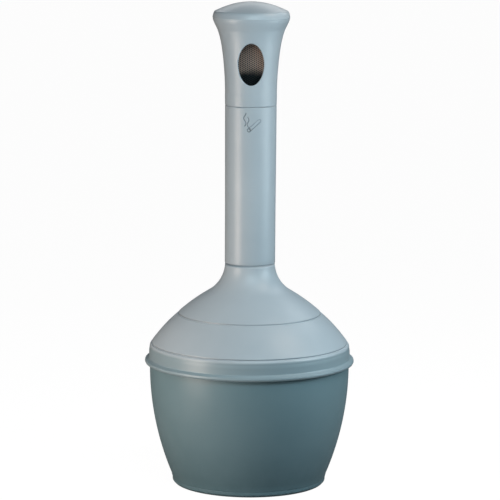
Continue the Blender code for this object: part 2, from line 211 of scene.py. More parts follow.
class Nodes:
    """Shorthand for building a material's node tree."""

    def __init__(self, name):
        self.mat = bpy.data.materials.new(name)
        self.mat.use_nodes = True
        self.tree = self.mat.node_tree
        self.shader = self.tree.nodes["Principled BSDF"]
        self.place = self.add("ShaderNodeTexCoord").outputs["Object"]

    def add(self, kind, **settings):
        node = self.tree.nodes.new(kind)
        for key, value in settings.items():
            setattr(node, key, value)
        return node

    def link(self, a, b):
        self.tree.links.new(a, b)

    def stretched(self, scale):
        node = self.add("ShaderNodeMapping")
        node.inputs["Scale"].default_value = scale
        self.link(self.place, node.inputs["Vector"])
        return node.outputs["Vector"]

    def noise(self, scale, detail=2.0, rough=0.5, vector=None):
        node = self.add("ShaderNodeTexNoise")
        node.inputs["Scale"].default_value = scale
        node.inputs["Detail"].default_value = detail
        node.inputs["Roughness"].default_value = rough
        self.link(vector or self.place, node.inputs["Vector"])
        return node.outputs["Fac"]

    def cells(self, scale):
        """The grey of a random colour for each cell."""
        node = self.add("ShaderNodeTexVoronoi", feature="F1")
        node.inputs["Scale"].default_value = scale
        self.link(self.place, node.inputs["Vector"])
        grey = self.add("ShaderNodeRGBToBW")
        self.link(node.outputs["Color"], grey.inputs[0])
        return grey.outputs[0]

    def ranged(self, value, low, high, to_low, to_high):
        """Maps value from low..high to to_low..to_high, clamped."""
        node = self.add("ShaderNodeMapRange")
        for key, number in zip(("From Min", "From Max", "To Min", "To Max"),
                               (low, high, to_low, to_high)):
            node.inputs[key].default_value = number
        self.link(value, node.inputs["Value"])
        return node.outputs["Result"]

    def math(self, operation, a, b):
        node = self.add("ShaderNodeMath", operation=operation)
        for socket, value in zip(node.inputs, (a, b)):
            if isinstance(value, (int, float)):
                socket.default_value = value
            else:
                self.link(value, socket)
        return node.outputs[0]

    def mix(self, share, a, b):
        node = self.add("ShaderNodeMix", data_type="RGBA")
        for socket, value in zip((node.inputs[0], node.inputs[6], node.inputs[7]), (share, a, b)):
            if isinstance(value, tuple):
                socket.default_value = (*value, 1.0)
            elif isinstance(value, float):
                socket.default_value = value
            else:
                self.link(value, socket)
        return node.outputs[2]

    def height(self):
        node = self.add("ShaderNodeSeparateXYZ")
        self.link(self.place, node.inputs[0])
        return node.outputs["Z"]

    def bump(self, *layers):
        """Each layer is (height, strength, distance in metres)."""
        normal = None
        for value, strength, distance in layers:
            node = self.add("ShaderNodeBump")
            node.inputs["Strength"].default_value = strength
            node.inputs["Distance"].default_value = distance
            self.link(value, node.inputs["Height"])
            if normal:
                self.link(normal, node.inputs["Normal"])
            normal = node.outputs["Normal"]
        self.link(normal, self.shader.inputs["Normal"])

    def set(self, **values):
        for key, value in values.items():
            socket = self.shader.inputs[key.replace("_", " ")]
            if isinstance(value, (int, float)):
                socket.default_value = value
            elif isinstance(value, tuple):
                socket.default_value = (*value, 1.0)
            else:
                self.link(value, socket)


def plastic(name, colour, dark, roughness=0.40, foot_shade_share=0.0, shade=None, marks=None):
    """Satin moulded polyethylene: faint cloudy colour and gloss, fine mould grain, and painted shade
    where asked for.

    foot_shade_share is the share of painted shade near the floor. shade is the dome's painted shade:
    the colour its wall turns to under the lower ring, which also paints shade into its two ring
    grooves. marks is (attribute, share, colour): a point attribute that darkens a groove, or paints
    near-black shade on the hood's inner faces.
    """
    n = Nodes(name)
    cloud = n.noise(7.0, 3.0, 0.55)
    colour_out = n.mix(n.ranged(cloud, 0.3, 0.7, 0.0, 1.0), colour, dark)
    scuff = n.ranged(n.noise(260.0, 2.0, 0.6, n.stretched((1.0, 1.0, 0.06))), 0.60, 0.85, 0.0, 1.0)
    if foot_shade_share:
        # painted shade: the pot turns darker teal towards the floor, a little blotchy
        low = n.ranged(n.height(), 0.004, 0.110, 1.0, 0.0)
        blotch = n.ranged(n.noise(55.0, 4.0, 0.6), 0.35, 0.70, 0.75, 1.0)
        share = n.math("MULTIPLY", n.math("MULTIPLY", low, blotch), foot_shade_share)
        colour_out = n.mix(share, colour_out, POT_FOOT_SHADE)
    if shade:
        # painted shade: the dome's short wall under the lower ring turns darker
        under = n.ranged(n.height(), SHOULDER_EDGE - 0.0040, SHOULDER_EDGE + 0.0005, 0.6, 0.0)
        colour_out = n.mix(under, colour_out, shade)
        # painted shade: the two ring grooves drawn darker
        ring_shade_colour = tuple(0.3 * c for c in dark)
        for ring, half, share in ((UPPER_RING, 0.0014, 0.60), (LOWER_RING, 0.0012, 0.65)):
            off = n.math("ABSOLUTE", n.math("SUBTRACT", n.height(), ring), 0.0)
            colour_out = n.mix(n.ranged(off, 0.0003, half, share, 0.0), colour_out, ring_shade_colour)
    if marks:
        node = n.add("ShaderNodeAttribute", attribute_name=marks[0])
        colour_out = n.mix(n.math("MULTIPLY", node.outputs["Fac"], marks[1]), colour_out, marks[2])
    rough = n.ranged(n.noise(24.0, 3.0), 0.3, 0.7, roughness - 0.02, roughness + 0.02)
    rough = n.math("ADD", rough, n.math("MULTIPLY", scuff, 0.05))
    n.set(Base_Color=colour_out, Roughness=rough, Specular_IOR_Level=0.5)
    n.shader.inputs["IOR"].default_value = 1.51
    n.bump(
        (n.noise(30.0, 2.0), 0.08, 0.0012),
        (n.noise(1100.0, 2.0, 0.6), 0.16, 0.00012),
    )
    return n.mat


def galvanised(name):
    """Zinc spangle: angular flakes of slightly different grey and gloss, with dull streaks."""
    n = Nodes(name)
    flake = n.cells(95.0)
    small = n.cells(230.0)
    tone = n.ranged(flake, 0.1, 0.9, 0.0, 1.0)
    colour = n.mix(tone, (0.36, 0.38, 0.40), (0.60, 0.62, 0.64))
    streak = n.ranged(n.noise(60.0, 3.0, 0.6, n.stretched((1.0, 1.0, 0.12))), 0.5, 0.75, 0.0, 0.35)
    colour = n.mix(streak, colour, (0.28, 0.28, 0.27))
    rough = n.math("ADD", n.ranged(flake, 0.0, 1.0, 0.30, 0.46),
                   n.ranged(small, 0.0, 1.0, 0.0, 0.08))
    n.set(Base_Color=colour, Roughness=rough, Metallic=1.0)
    n.bump((n.noise(140.0, 3.0), 0.12, 0.0003))
    return n.mat


def stub_metal(name):
    """Weathered sheet, browned by heat and flecked with ash, its lower part painted near black as
    shadow.
    """
    shadow_full, shadow_end = 0.831, 0.844
    n = Nodes(name)
    stain = n.ranged(n.noise(45.0, 4.0, 0.6), 0.35, 0.70, 0.0, 1.0)
    colour = n.mix(stain, (0.520, 0.380, 0.315), (0.390, 0.285, 0.235))
    ash = n.ranged(n.noise(160.0, 3.0, 0.7), 0.60, 0.75, 0.0, 0.45)
    colour = n.mix(ash, colour, (0.09, 0.08, 0.075))
    # painted shadow: the lower part of the sheet turns near black
    edge = n.math("ADD", n.height(), n.ranged(n.noise(60.0, 3.0), 0.3, 0.7, -0.003, 0.003))
    colour = n.mix(n.ranged(edge, shadow_full, shadow_end, 1.0, 0.0), colour, (0.008, 0.013, 0.016))
    rough = n.ranged(n.noise(90.0, 3.0), 0.3, 0.7, 0.42, 0.56)
    n.set(Base_Color=colour, Roughness=rough, Metallic=0.30)
    n.bump((n.noise(420.0, 2.0), 0.10, 0.0002))
    return n.mat


def fastener_metal(name):
    """Plated steel with dull patches."""
    n = Nodes(name)
    dull = n.ranged(n.noise(420.0, 3.0), 0.35, 0.70, 0.0, 1.0)
    colour = n.mix(dull, (0.62, 0.62, 0.61), (0.42, 0.42, 0.41))
    n.set(Base_Color=colour, Roughness=n.ranged(dull, 0.0, 1.0, 0.24, 0.42), Metallic=1.0)
    n.bump((n.noise(1800.0, 1.0), 0.08, 0.0001))
    return n.mat


def rubber(name):
    """Black rubber with dust on it."""
    n = Nodes(name)
    dust = n.ranged(n.noise(240.0, 3.0), 0.45, 0.70, 0.0, 0.5)
    colour = n.mix(dust, (0.022, 0.022, 0.023), (0.060, 0.058, 0.055))
    n.set(Base_Color=colour, Roughness=n.ranged(dust, 0.0, 0.5, 0.62, 0.80))
    n.bump((n.noise(900.0, 2.0), 0.2, 0.0002))
    return n.mat


# The dome gets painted shade on its short wall and in its two ring grooves.
DOME_PLASTIC = plastic("dome_plastic", BONNET_GREY, BONNET_DARK, shade=WALL_PAINTED_SHADE)
NECK_PLASTIC = plastic("neck_plastic", BONNET_GREY, BONNET_DARK,
                       marks=("groove", 0.75, (0.055, 0.075, 0.088)))
# The hood's inner faces get near-black painted shade.
HEAD_PLASTIC = plastic("head_plastic", BONNET_GREY, BONNET_DARK,
                       marks=("hood_inner_shade", 0.94, (0.012, 0.016, 0.018)))
# The pot gets painted shade towards its foot.
POT_PLASTIC = plastic("pot_plastic", POT_GREY, POT_DARK, roughness=0.42, foot_shade_share=0.5)
ZINC = galvanised("zinc_spangle")
STUB = stub_metal("stub_sheet")
FASTENER = fastener_metal("plated_fastener")
RUBBER = rubber("plug_rubber")

# ---------------------------------------------------------------- base


def pot_radius(z):
    """The pot's bulging wall: an arc of radius bulge, widest at height."""
    bulge, height = 0.580, 0.2415
    return POT_R - bulge + math.sqrt(bulge**2 - (z - height) ** 2)


def build_pot():
    """The pot with its floor, its foot ring and the upright lip inside the cover."""
    lip = 0.1995
    top = POT_LIP_Z - 0.0153
    floor_top, floor_under, floor_r = 0.0100, 0.0060, 0.05
    wall_down = [(pot_radius(z), z) for z in spaced(top - 0.004, 0.0165, 0.004)]
    wall_up = [(pot_radius(z) - WALL, z) for z in spaced(0.022, top - 0.014, 0.008)]
    profile = [(0.0, floor_top), (floor_r, floor_top)]
    profile += rounded([(floor_r, floor_top), (0.1500, floor_top, 0.010), wall_up[0]])[1:]
    profile += wall_up[1:]
    profile += rounded([
        wall_up[-1], (lip - WALL, top - 0.004, 0.004), (lip - WALL, POT_LIP_Z, 0.0012),
        (lip, POT_LIP_Z, 0.0012), (lip, top, 0.0008), (POT_R + 0.0001, top, 0.0022), wall_down[0],
    ])[1:]
    profile += wall_down[1:]
    profile += rounded([
        wall_down[-1], (0.1563, 0.0125, 0.0015), (0.1556, 0.0112, 0.0012), (0.1555, 0.0044, 0.0032),
        (0.1512, FLOOR_Z, 0.0014), (0.1380, FLOOR_Z, 0.002), (0.1362, floor_under, 0.003),
        (floor_r, floor_under),
    ])[1:]
    profile.append((0.0, floor_under))
    pot = lathe("pot", profile, "base", POT_PLASTIC)
    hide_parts("base_pot")


def build_plugs():
    """Rubber plugs in the three bolt-down holes of the floor."""
    profile = rounded([
        (0.0, 0.0128), (0.0066, 0.0126, 0.0008), (0.0090, 0.0113, 0.0006), (0.0090, 0.0103),
        (0.0059, 0.0103), (0.0059, 0.0057), (0.0070, 0.0057), (0.0056, 0.0032, 0.0006),
        (0.0, 0.0032),
    ])
    for i in range(3):
        name = f"anchor_plug_{i + 1}"
        low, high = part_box(name)
        place = Matrix.Translation(((low[0] + high[0]) / 2, (low[1] + high[1]) / 2, 0.0))
        plug = lathe(f"floor_plug_{i + 1}", profile, "base", RUBBER, 40,
                     matrix=place, flat=40)
        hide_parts(name)


# ---------------------------------------------------------------- pail


def pail_radius(z):
    """The pail's straight taper."""
    foot_r = 0.130
    return foot_r + (PAIL_TOP_R - foot_r) * (z - PAIL_LOW) / (PAIL_HIGH - PAIL_LOW)


def build_pail():
    """The pail's side with its beads and rolled rim, and its pressed bottom."""
    bead_heights, bead_out, bead_half, sheet = (0.070, 0.083, 0.150), 0.0022, 0.0035, 0.001

    def bead(z):
        return sum(bead_out * math.exp(-(((z - at) / bead_half) ** 2)) for at in bead_heights)

    heights = spaced(PAIL_HIGH - 0.004, PAIL_LOW + 0.003, 0.0015)
    outer = [(pail_radius(z) + bead(z), z) for z in heights]
    inner = [(r - sheet, z) for r, z in reversed(outer)]
    foot = [(pail_radius(PAIL_LOW) + 0.0001, PAIL_LOW + 0.0005), (0.1295, PAIL_LOW),
            (0.1291, PAIL_LOW + 0.0005)]
    roll = (PAIL_TOP_R + 0.0033, PAIL_HIGH - 0.0025)
    curl = arc(roll, 0.0031, math.pi + 0.55, -0.75, 18)
    back = arc(roll, 0.0023, -0.75, math.pi + 0.25, 14)
    rim = list(reversed(back)) + list(reversed(curl))
    body = lathe("pail_shell", outer + foot + inner + rim, "pail", ZINC, closed=True)
    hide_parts("pail_body", "pail_rim_wire")
    low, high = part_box("pail_bottom")
    reach, drop, thick = high[0], high[2], 0.0012
    dish = rounded([(0.0, drop), (reach, drop, 2 * thick), (reach, low[2]), (reach - thick, low[2]),
                    (reach - thick, drop - thick, thick), (0.0, drop - thick)])
    floor = lathe("pail_dish", dish, "pail", ZINC)
    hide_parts("pail_bottom")


def build_bail():
    """The wire handle: a round tube along its arch, leaning back from the hinge line."""
    wire, end_x, arch_r, bend, lean = 0.00225, 0.157, 0.170, 0.0035, math.radians(-30)
    sides = 14
    right = [(end_x, 0.0), (arch_r - bend, 0.0), (arch_r - 0.3 * bend, 0.3 * bend)]
    left = [(-x, y) for x, y in reversed(right)]
    line = np.array(right + arc((0.0, bend), arch_r, 0.0, math.pi, 128) + left)
    step = np.gradient(line, axis=0)
    step /= np.linalg.norm(step, axis=1)[:, None]
    bm = bmesh.new()
    rings = []
    for (x, y), (tx, ty) in zip(line, step):
        turn = [2 * math.pi * k / sides for k in range(sides)]
        rings.append([bm.verts.new((x - ty * wire * math.cos(t), y + tx * wire * math.cos(t),
                                    wire * math.sin(t))) for t in turn])
    for one, two in zip(rings, rings[1:]):
        for k in range(sides):
            m = (k + 1) % sides
            bm.faces.new((one[k], one[m], two[m], two[k]))
    bm.faces.new(rings[0])
    bm.faces.new(rings[-1])
    place = Matrix.Translation((0, 0, HINGE_Z)) @ Matrix.Rotation(lean, 4, "X")
    bmesh.ops.transform(bm, matrix=place, verts=list(bm.verts))
    bail = finish_mesh("bail_wire", bm, "bail", ZINC, flat_above=60)
    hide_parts("pail_bail")


build_pot()
build_plugs()
build_pail()
build_bail()

# ---------------------------------------------------------------- bonnet: dome


def dome_outline():
    """The skin from the neck seam to the flange, as (r, z), with its two ring grooves."""
    fillet, fillet_r = (0.1192, 0.4522), 0.0690
    skin_r, lean = 0.3816, math.radians(30.6)
    skin = (fillet[0] - (fillet_r + skin_r) * math.sin(lean),
            fillet[1] - (fillet_r + skin_r) * math.cos(lean))
    wall_r, shoulder_r = 0.2049, 0.030
    across = wall_r - shoulder_r - skin[0]
    rise = math.sqrt((skin_r - shoulder_r) ** 2 - across**2)
    shoulder = (wall_r - shoulder_r, skin[1] + rise)
    join = math.atan2(rise, across)
    tangent = math.pi / 2 - lean
    base = arc(fillet, fillet_r, math.pi + 0.02, math.pi + tangent, 26)
    base += arc(skin, skin_r, tangent, join, 360)[1:]
    base += arc(shoulder, shoulder_r, join, 0.0, 60)[1:]
    line = np.array(base)
    step = np.gradient(line, axis=0)
    step /= np.linalg.norm(step, axis=1)[:, None]
    normal = np.stack([-step[:, 1], step[:, 0]], axis=1)
    along = np.concatenate([[0.0], np.cumsum(np.linalg.norm(np.diff(line, axis=0), axis=1))])

    def past(z):
        """Distance along the line past height z, negative before it."""
        return along - along[np.argmin(np.abs(line[:, 1] - z))]

    ring_depth, ring_half = 0.0021, 0.0013
    sink = np.zeros(len(line))
    for z in (UPPER_RING, LOWER_RING):
        sink += ring_depth * np.exp(-((past(z) / ring_half) ** 2))
    fading = 1 - smooth_step((past(UPPER_RING) - 0.004) / 0.03)
    sink += 0.0006 * smooth_step(past(UPPER_RING) / 0.0010) * fading
    sink += 0.0012 * smooth_step(past(SHOULDER_EDGE) / 0.0060)
    line -= normal * sink[:, None]
    details = (UPPER_RING, LOWER_RING, SHOULDER_EDGE - 0.002)
    keep = [0]
    for i in range(1, len(line)):
        near = min(abs(line[i, 1] - z) for z in details) < 0.0050
        gap = 0.00050 if near else 0.0042
        if along[i] - along[keep[-1]] >= gap or i == len(line) - 1:
            keep.append(i)
    return [tuple(p) for p in line[keep]]


def build_dome():
    """The cover with its rim flange, its inner skin and the spigot into the neck."""
    skin = dome_outline()
    top = DOME_HIGH + 0.029
    mouth_r, mouth_top = 0.2009, 0.2700
    spigot = rounded([
        (SPIGOT_BORE, top), (SPIGOT_R, top, 0.0008), (SPIGOT_R, DOME_HIGH),
        (0.0502, DOME_HIGH, 0.0008), skin[0],
    ])
    flange = rounded([
        skin[-1], (skin[-1][0], 0.2576, 0.0030), (0.2091, 0.2549, 0.0006), (0.2114, 0.2541, 0.0012),
        (FLANGE_R + 0.0001, 0.2505, 0.0030), (0.2106, FLANGE_UNDER, 0.0010),
        (mouth_r, FLANGE_UNDER, 0.0006), (mouth_r, mouth_top),
    ], 6)
    inner = [(mouth_r, mouth_top), (0.1995, 0.2790), (0.1955, 0.2860), (0.1720, 0.3145),
             (0.1450, 0.3425), (0.1150, 0.3675), (0.0825, 0.3893), (0.0655, 0.4030),
             (0.0535, 0.4200), (0.0473, 0.4400), (SPIGOT_BORE, 0.4460)]
    dome = lathe("dome", spigot[:-1] + skin + flange[1:] + inner[1:], "bonnet",
                 DOME_PLASTIC, 288, closed=True)
    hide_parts("dome_cover")


# ---------------------------------------------------------------- bonnet: neck with its pictogram


def pictogram():
    """A lit cigarette with two threads of smoke, as (depth share, polyline) in metres."""
    lean = math.radians(41)
    along = Vector((math.cos(lean), math.sin(lean)))
    side = Vector((-along.y, along.x))
    tip = Vector((-0.0060, -0.0163))

    def at(u, v):
        return tip + along * u + side * v

    def smoke(x, sway, rate, crest, top, bottom, count):
        """A wavy upright thread about x, with a crest of its wave at height crest."""
        return [Vector((x + sway * math.cos((z - crest) * rate), z))
                for z in np.linspace(top, bottom, count)]

    half, length = 0.0031, 0.0335
    lit = [at(0.0062, half), at(0.0012, half), at(-0.0004, 0.0), at(0.0012, -half),
           at(0.0062, -half)]
    glow = [at(0.0052 + 0.0009 * math.cos(t * 3), -half + 2 * half * t / 6) for t in range(7)]
    far = [at(length - 0.003, half), at(length, 0.6 * half), at(length + 0.0008, 0.0),
           at(length, -0.6 * half), at(length - 0.003, -half)]
    long_thread = smoke(-0.0118, 0.0023, 306, 0.020, 0.0200, -0.0060, 30)
    short_thread = smoke(-0.0054, 0.0017, 361, 0.006, 0.0116, -0.0080, 24)
    short_thread += [Vector((-0.0024, -0.0098)), Vector((-0.0006, -0.0122))]
    return [
        (1.0, lit), (0.9, glow), (0.75, [lit[-1], far[-1]]), (0.5, [lit[0], far[0]]), (0.5, far),
        (1.0, long_thread), (0.8, short_thread),
    ]


def line_distance(x, y, line):
    """Distance from each point to the polyline."""
    best = np.full(x.shape, 1.0)
    for a, b in zip(line, line[1:]):
        d = b - a
        t = np.clip(((x - a.x) * d.x + (y - a.y) * d.y) / d.length_squared, 0, 1)
        best = np.minimum(best, np.hypot(x - a.x - t * d.x, y - a.y - t * d.y))
    return best


def build_neck():
    """The tube, with a fine grid at the front that the pictogram is sunk into."""
    centre, reach, fine = 0.7395, 0.0245, 0.00042
    skin_r, half_width = 0.0515, 0.0250
    line_half, line_fade, groove_depth = 0.00040, 0.00080, 0.0011
    z0, z1 = centre - reach, centre + reach
    spread = half_width / skin_r
    columns = list(np.arange(-spread, spread, fine / skin_r))
    columns += spaced(spread, 2 * math.pi - spread, 2 * math.pi / 200)

    def radius(z):
        return float(np.interp(z, [0.452, 0.560, 0.680, 0.770], [0.0509, 0.0510, 0.0515, 0.0518]))

    levels = spaced(NECK_HIGH - 0.0018, z1, 0.004) + spaced(z1, z0, fine)
    levels += spaced(z0, NECK_LOW + 0.0016, 0.012)
    outer = [(radius(z), z) for z in levels]
    high = rounded([(NECK_BORE, NECK_HIGH), (radius(NECK_HIGH), NECK_HIGH, 0.0014), outer[0]])
    low = rounded([outer[-1], (radius(NECK_LOW), NECK_LOW, 0.0008), (NECK_BORE, NECK_LOW)])
    bm = bmesh.new()
    turn_profile(bm, high[:-1] + outer + low[1:], columns, closed=True)
    places = np.array([v.co[:] for v in bm.verts])
    across = np.arctan2(places[:, 0], -places[:, 1]) * skin_r
    up = places[:, 2] - centre
    out = np.hypot(places[:, 0], places[:, 1])
    sunk = np.zeros(len(places))
    for share, line in pictogram():
        far = line_distance(across, up, line)
        sunk = np.maximum(sunk, share * (1 - smooth_step((far - line_half) / line_fade)))
    sunk[(np.abs(across) > half_width) | (np.abs(up) > reach) | (out < 0.050)] = 0
    for v, share, r in zip(bm.verts, sunk, out):
        if share > 0:
            v.co.x *= (r - groove_depth * share) / r
            v.co.y *= (r - groove_depth * share) / r
    neck = finish_mesh("neck", bm, "bonnet", NECK_PLASTIC)
    groove = neck.data.attributes.new("groove", "FLOAT", "POINT")
    groove.data.foreach_set("value", sunk.astype(np.float32))
    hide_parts("neck_tube")


# ---------------------------------------------------------------- bonnet: head with its port

PORT_HALF_W, PORT_HALF_H, PORT_Z, PORT_LIP = 0.0255, 0.0420, 0.8560, 0.0024


def head_outline():
    """Outer skin from the neck seam up to the rim, and the crown from the rim to its top."""
    low = arc((0.7311, 0.7906), 0.6791, math.pi, math.pi - 0.13, 60)
    high = arc((0.2612, 0.8561), 0.2046, math.pi - 0.12, math.pi - 0.324, 30)
    ends = [(0.0518, HEAD_LOW + 0.0005), (0.0521, 0.785), (0.0522, 0.7938), (0.0519, 0.7948)]
    low = [p for p in low if 0.7955 <= p[1] < 0.8785]
    high = [p for p in high if p[1] > 0.8815]
    rim = [(0.0692, 0.9255), (0.0719, 0.9310), (0.0745, 0.9364), (0.0762, 0.9405),
           (0.0769, 0.9432), (0.0771, 0.9452), (0.0775, 0.9459), (0.0777, 0.9466),
           (0.0775, 0.9475), (0.0769, 0.9512), (0.0758, 0.9550), (0.0742, 0.9582),
           (0.0730, 0.9594), (0.0715, 0.9601)]
    edge_r, drop, bend = 0.0700, HEAD_TOP - 0.9607, 3.571
    crown = [(r, HEAD_TOP - bend * r**2 + (bend * edge_r**2 - drop) * (r / edge_r) ** 4)
             for r in np.linspace(0.0690, 0.0, 24)]
    crown[-1] = (0.0, HEAD_TOP)
    return ends + low + high + rim, crown


def build_head():
    """The hood: one turned shell with a block of cells left open, where the port is fitted."""
    side, crown = head_outline()
    side_r, side_z = np.array(side).T

    def radius(z):
        return float(np.interp(z, side_z, side_r))

    z0, z1, rows = 0.8035, 0.9085, 36
    block = [z0 + (z1 - z0) * i / rows for i in range(rows + 1)]
    below = spaced(HEAD_LOW + 0.0018, z0, 0.0018)
    above = [p for p in side if p[1] > z1 + 0.001]
    spigot_low = HEAD_LOW - 0.029
    shelf = HEAD_LOW + 0.0038
    inner_r, inner_reach = 0.1476, 0.0655
    inner_crown = arc((0.0, HEAD_TOP - 0.1516), inner_r, math.pi / 2,
                      math.acos(inner_reach / inner_r), 10)
    inner_crown[0] = (0.0, HEAD_TOP - WALL)
    inner_rim = [(0.0700, 0.9570), (0.0722, 0.9510), (0.0730, 0.9465), (0.0715, 0.9400),
                 (0.0690, 0.9350), (0.0660, 0.9280), (0.0635, 0.9205), (0.0612, 0.9145)]
    profile = inner_crown + inner_rim
    inner_start = len(profile)
    profile += [(radius(z) - WALL, z) for z in reversed(block)]
    inner_end = len(profile) - 1
    profile += rounded([
        (radius(0.795) - WALL, 0.795), (0.0480, shelf, 0.0006), (SPIGOT_BORE, shelf, 0.0006),
        (SPIGOT_BORE, spigot_low, 0.0005), (SPIGOT_R, spigot_low, 0.0008), (SPIGOT_R, HEAD_LOW),
        (radius(HEAD_LOW), HEAD_LOW, 0.0014), (radius(below[1]), below[1]),
    ], 3)[:-1]
    profile += [(radius(z), z) for z in below[1:]]
    outer_start = len(profile)
    profile += [(radius(z), z) for z in block]
    outer_end = len(profile) - 1
    profile += above + crown

    half, count = math.radians(41), 38
    front = [-half + 2 * half * i / count for i in range(count + 1)]
    columns = front + spaced(half, 2 * math.pi - half, math.radians(2.0))[1:]
    bm = bmesh.new()
    spans = [(inner_start, inner_end), (outer_start, outer_end)]
    verts = turn_profile(bm, profile, columns, block=((0, count), spans))

    def boundary(first, last, up):
        """Block edge, counter-clockwise seen from the front, from its lower left corner."""
        level = list(range(first, last + 1))
        if not up:
            level.reverse()
        keys = [(level[0], c) for c in range(count)]
        keys += [(i, count) for i in level[:-1]]
        keys += [(level[-1], c) for c in range(count, 0, -1)]
        keys += [(i, 0) for i in level[:0:-1]]
        return keys

    outer_keys = boundary(outer_start, outer_end, True)
    inner_keys = boundary(inner_start, inner_end, False)

    def corner(key):
        v = verts[key].co
        return math.atan2(v.x, -v.y), v.z

    skin_r = 0.0555
    edge = [corner(key) for key in outer_keys]
    angle = [math.atan2((z - PORT_Z) / PORT_HALF_H, skin_r * a / PORT_HALF_W) for a, z in edge]

    def oval(grow, depth):
        """A loop round the port: the oval grown by grow, at depth under the outer skin."""
        out = []
        for t in angle:
            x = (PORT_HALF_W + grow) * math.cos(t)
            z = PORT_Z + (PORT_HALF_H + grow) * math.sin(t)
            r = radius(z) - depth
            out.append((x, -math.sqrt(r * r - x * x), z))
        return out

    def ease(share, depth, grow):
        """A loop part of the way from the block edge to the grown oval."""
        out = []
        for (a, z), t in zip(edge, angle):
            oval_x = (PORT_HALF_W + grow) * math.cos(t)
            oval_z = PORT_Z + (PORT_HALF_H + grow) * math.sin(t)
            oval_a = math.asin(oval_x / (radius(oval_z) - depth))
            turn, level = a + (oval_a - a) * share, z + (oval_z - z) * share
            r = radius(level) - depth
            out.append((r * math.sin(turn), -r * math.cos(turn), level))
        return out

    shares = [0.22, 0.42, 0.60, 0.75, 0.87, 0.95]
    loops = [ease(s, 0.0, PORT_LIP) for s in shares] + [oval(PORT_LIP, 0.0)]
    lip_steps = 6
    for k in range(1, lip_steps + 1):
        turn = k * math.pi / (2 * lip_steps)
        loops.append(oval(PORT_LIP * (1 - math.sin(turn)), PORT_LIP * (1 - math.cos(turn))))
    inner_lip = 0.0006
    loops.append(oval(0.0, WALL - 2 * inner_lip))
    loops.append(oval(0.0, WALL - inner_lip))
    loops.append(oval(inner_lip * 0.3, WALL - inner_lip * 0.3))
    loops.append(oval(inner_lip, WALL))
    loops += [ease(s, WALL, inner_lip) for s in (0.85, 0.55, 0.25)]
    rings = [[verts[key] for key in outer_keys]]
    rings += [[bm.verts.new(p) for p in loop] for loop in loops]
    rings.append([verts[key] for key in inner_keys])
    size = len(outer_keys)
    for a, b in zip(rings, rings[1:]):
        for i in range(size):
            j = (i + 1) % size
            bm.faces.new((a[i], a[j], b[j], b[i]))
    head = finish_mesh("head", bm, "bonnet", HEAD_PLASTIC)
    places = np.array([v.co[:] for v in head.data.vertices])
    deep = np.interp(places[:, 2], side_z, side_r) - np.hypot(places[:, 0], places[:, 1])
    inside = (places[:, 2] > 0.79) & (places[:, 2] < 0.958)
    # painted shade: every face inside the hood, under its outer skin, turns near black
    hood_inner_shade_share = smooth_step((deep - 0.0026) / 0.0008) * inside
    hood_inner_shade = head.data.attributes.new("hood_inner_shade", "FLOAT", "POINT")
    hood_inner_shade.data.foreach_set("value", hood_inner_shade_share.astype(np.float32))
    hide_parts("head_hood")


def build_screws():
    """Pan heads with a cross recess, at the back of the neck."""
    head_high, slot_half, slot_reach, slot_depth = 0.0036, 0.0005, 0.0026, 0.0012
    skin_r, heights, degrees_from_x = 0.0509, (("lower", 0.468), ("upper", 0.754)), (54, 126)
    dome = [(r, head_high - 18.0 * r**2) for r in np.arange(0.0003, 0.0034, 0.0003)]
    rest = rounded([dome[-1], (0.0050, 0.0026, 0.0009), (0.0050, 0.0012), (0.0021, 0.0012),
                    (0.0021, -0.0090), (0.0, -0.0115)])
    for label, z in heights:
        for i, angle in enumerate(degrees_from_x):
            bm = bmesh.new()
            turn_profile(bm, [(0.0, head_high)] + dome + rest[1:], azimuths(64))
            for v in bm.verts:
                out, off = math.hypot(v.co.x, v.co.y), min(abs(v.co.x), abs(v.co.y))
                if v.co.z > 0.003 and out < slot_reach and off < slot_half:
                    v.co.z -= slot_depth * (1 - out / 0.0032)
            spot = Matrix.Rotation(math.radians(angle), 4, "Z")
            spot = spot @ Matrix.Translation((skin_r, 0, z))
            bmesh.ops.transform(bm, matrix=spot @ Matrix.Rotation(math.pi / 2, 4, "Y"),
                                verts=list(bm.verts))
            screw = finish_mesh(f"pan_screw_{label}_{i + 1}", bm, "bonnet",
                                FASTENER, flat_above=35)
            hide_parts(f"neck_screw_{label}_{i + 1}")


build_dome()
build_neck()
build_head()
build_screws()

# ---------------------------------------------------------------- stub plate


def thicken(piece):
    """Gives a sheet its thickness, half to each side."""
    thick = piece.modifiers.new("sheet", "SOLIDIFY")
    thick.thickness = 0.0012
    thick.offset = 0.0


